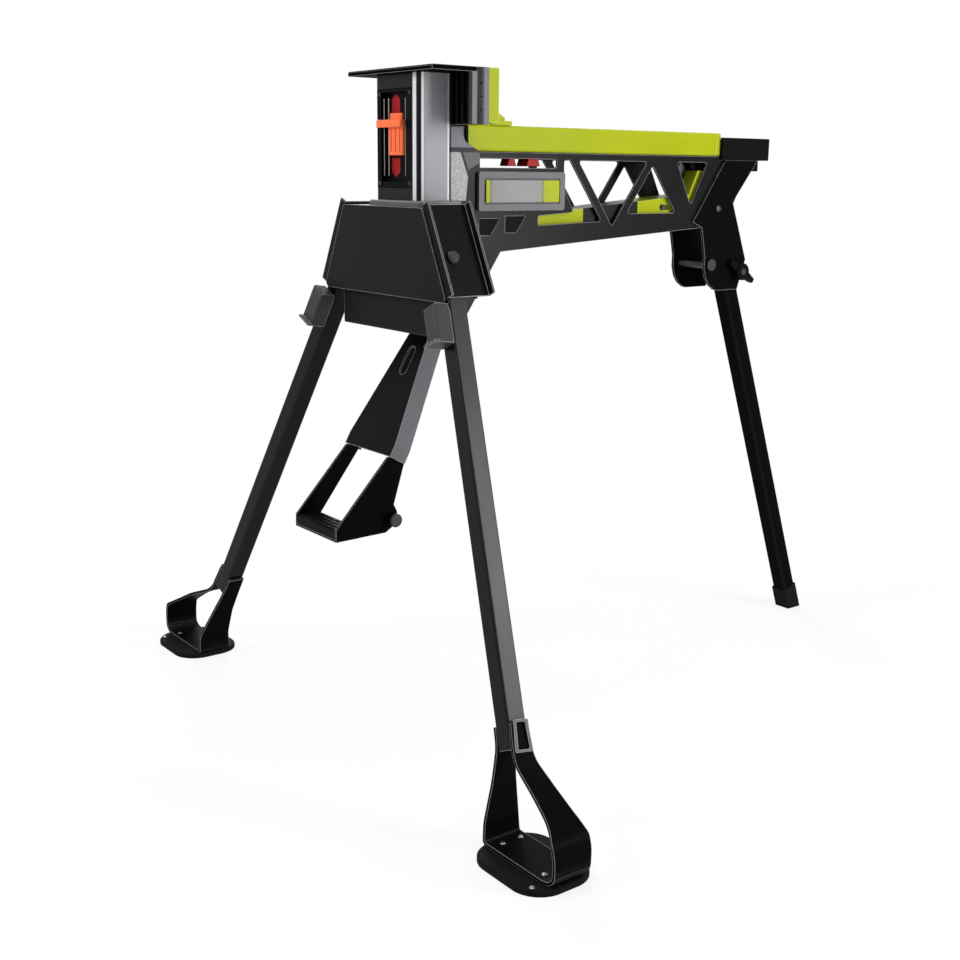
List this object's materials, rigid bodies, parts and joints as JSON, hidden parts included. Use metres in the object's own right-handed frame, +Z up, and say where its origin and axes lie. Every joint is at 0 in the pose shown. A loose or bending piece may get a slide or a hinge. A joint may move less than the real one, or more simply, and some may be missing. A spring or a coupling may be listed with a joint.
{
  "type": "portable workbench",
  "caption": "Folding three-legged workbench with a long sliding clamp beam over a latticed spine, worked by a foot pedal and a three-way slide switch",
  "frame": {"origin": "on the floor, under the middle of the standing bench's bounding box", "axes": "+Y runs rearwards along the clamp beam, towards the single rear leg; +X is towards the side that carries the small panel, on the right of a user at the column; +Z is up"},
  "size_m": [0.986, 1.0018, 0.873],
  "materials": {
    "black_paint": "satin black powder coat",
    "grey_paint": "satin grey paint",
    "lime_paint": "gloss lime paint",
    "jaw_steel": "ground steel",
    "zinc_steel": "zinc plated",
    "pad_rubber": "grey-green moulded rubber",
    "black_rubber": "matt moulded rubber",
    "grey_plastic": "fine-grained moulded",
    "black_plastic": "fine-grained moulded",
    "orange_plastic": "semi-gloss moulded",
    "red_plastic": "moulded"
  },
  "bodies": {
    "bench": {"head_deck": "black_paint", "front_cover": "black_paint", "cross_member": "black_paint", "head_back_left": "black_paint", "head_back_right": "black_paint", "leg_bracket_left": "black_paint", "leg_bracket_right": "black_paint", "column_collar": "grey_paint", "column": "grey_paint", "column_plate": "black_paint", "switch_bezel": "black_plastic", "switch_rail": "black_plastic", "mode_marks": "red_plastic", "bezel_screws": "zinc_steel", "jaw_cap": "black_paint", "fixed_jaw": "black_paint", "fixed_jaw_pad": "pad_rubber", "head_side_left": "grey_paint", "head_side_right": "grey_paint", "truss_left": "black_paint", "truss_right": "black_paint", "side_panel": "grey_plastic", "spine_pins": "zinc_steel", "guide_blocks": "red_plastic", "leg_bolts": "zinc_steel", "rear_bolts": "zinc_steel", "rear_yoke_left": "black_paint", "rear_yoke_right": "black_paint", "rear_saddle": "black_plastic"},
    "beam": {"moving_jaw": "lime_paint", "moving_jaw_plate": "jaw_steel", "moving_jaw_pad": "pad_rubber", "jaw_bolts": "zinc_steel", "clamp_beam": "lime_paint", "beam_carrier": "grey_plastic", "beam_buffer": "black_rubber", "beam_end_cap": "black_plastic", "drive_rack": "jaw_steel"},
    "slider": {"mode_slider": "orange_plastic"},
    "puller": {"pull_channel": "lime_paint", "drive_pin": "zinc_steel"},
    "driver": {"drive_pawl": "jaw_steel"},
    "holder": {"hold_pawl": "jaw_steel"},
    "pedal": {"pedal_arm": "black_paint", "pedal_stirrup": "black_paint", "pedal_tread": "black_plastic", "pedal_pins": "zinc_steel"},
    "leg_left": {"front_leg_left": "black_paint", "foot_strap_left": "black_paint", "foot_sole_left": "black_rubber", "foot_fixings_left": "zinc_steel"},
    "leg_right": {"front_leg_right": "black_paint", "foot_strap_right": "black_paint", "foot_sole_right": "black_rubber", "foot_fixings_right": "zinc_steel"},
    "latch_left": {"leg_latch_left": "black_plastic"},
    "latch_right": {"leg_latch_right": "black_plastic"},
    "leg_rear": {"rear_leg": "black_paint", "rear_leg_cup": "black_rubber"},
    "knob": {"wing_knob": "black_plastic"}
  },
  "joints": [
    {"name": "beam_slide", "type": "slide", "parent": "bench", "child": "beam", "axis": [0, 1, 0], "range_m": [0, 0.42]},
    {"name": "switch_slide", "type": "slide", "parent": "bench", "child": "slider", "axis": [0, 0, 1], "range_m": [-0.02, 0.02]},
    {"name": "pedal_hinge", "type": "hinge", "parent": "bench", "child": "pedal", "pos_m": [0, -0.285, 0.572], "axis": [1, 0, 0], "range_deg": [0, 27], "stiffness_Nm_per_rad": 2.5, "springref_deg": -45.84},
    {"name": "pull_slide", "type": "slide", "parent": "bench", "child": "puller", "axis": [0, -1, 0], "range_m": [0, 0.0249]},
    {"name": "drive_pawl_hinge", "type": "hinge", "parent": "puller", "child": "driver", "pos_m": [0.005, 0.21, 0.736], "axis": [1, 0, 0], "range_deg": [0, 12], "stiffness_Nm_per_rad": 0.06, "springref_deg": -20.05},
    {"name": "hold_pawl_hinge", "type": "hinge", "parent": "bench", "child": "holder", "pos_m": [-0.005, 0.188, 0.722], "axis": [1, 0, 0], "range_deg": [0, 12], "stiffness_Nm_per_rad": 0.08, "springref_deg": -20.05},
    {"name": "rear_leg_hinge", "type": "hinge", "parent": "bench", "child": "leg_rear", "pos_m": [0, 0.269, 0.6], "axis": [-1, 0, 0], "range_deg": [0, 78]},
    {"name": "knob_turn", "type": "hinge", "parent": "bench", "child": "knob", "pos_m": [0.041, 0.269, 0.6], "axis": [1, 0, 0], "continuous": true},
    {"name": "leg_hinge_left", "type": "hinge", "parent": "bench", "child": "leg_left", "pos_m": [-0.1081, -0.3431, 0.638], "axis": [0.9011, 0, -0.4337], "range_deg": [0, 98]},
    {"name": "latch_hinge_left", "type": "hinge", "parent": "leg_left", "child": "latch_left", "pos_m": [-0.13648, -0.37276, 0.57904], "axis": [-0.9011, 0, 0.4337], "range_deg": [0, 18]},
    {"name": "leg_hinge_right", "type": "hinge", "parent": "bench", "child": "leg_right", "pos_m": [0.1081, -0.3431, 0.638], "axis": [0.9011, 0, 0.4337], "range_deg": [0, 98]},
    {"name": "latch_hinge_right", "type": "hinge", "parent": "leg_right", "child": "latch_right", "pos_m": [0.13648, -0.37276, 0.57904], "axis": [-0.9011, 0, -0.4337], "range_deg": [0, 18]}
  ],
  "couplings": [
    {"joint": "pull_slide", "follows": "pedal_hinge", "m_per_rad": 0.052839}
  ]
}
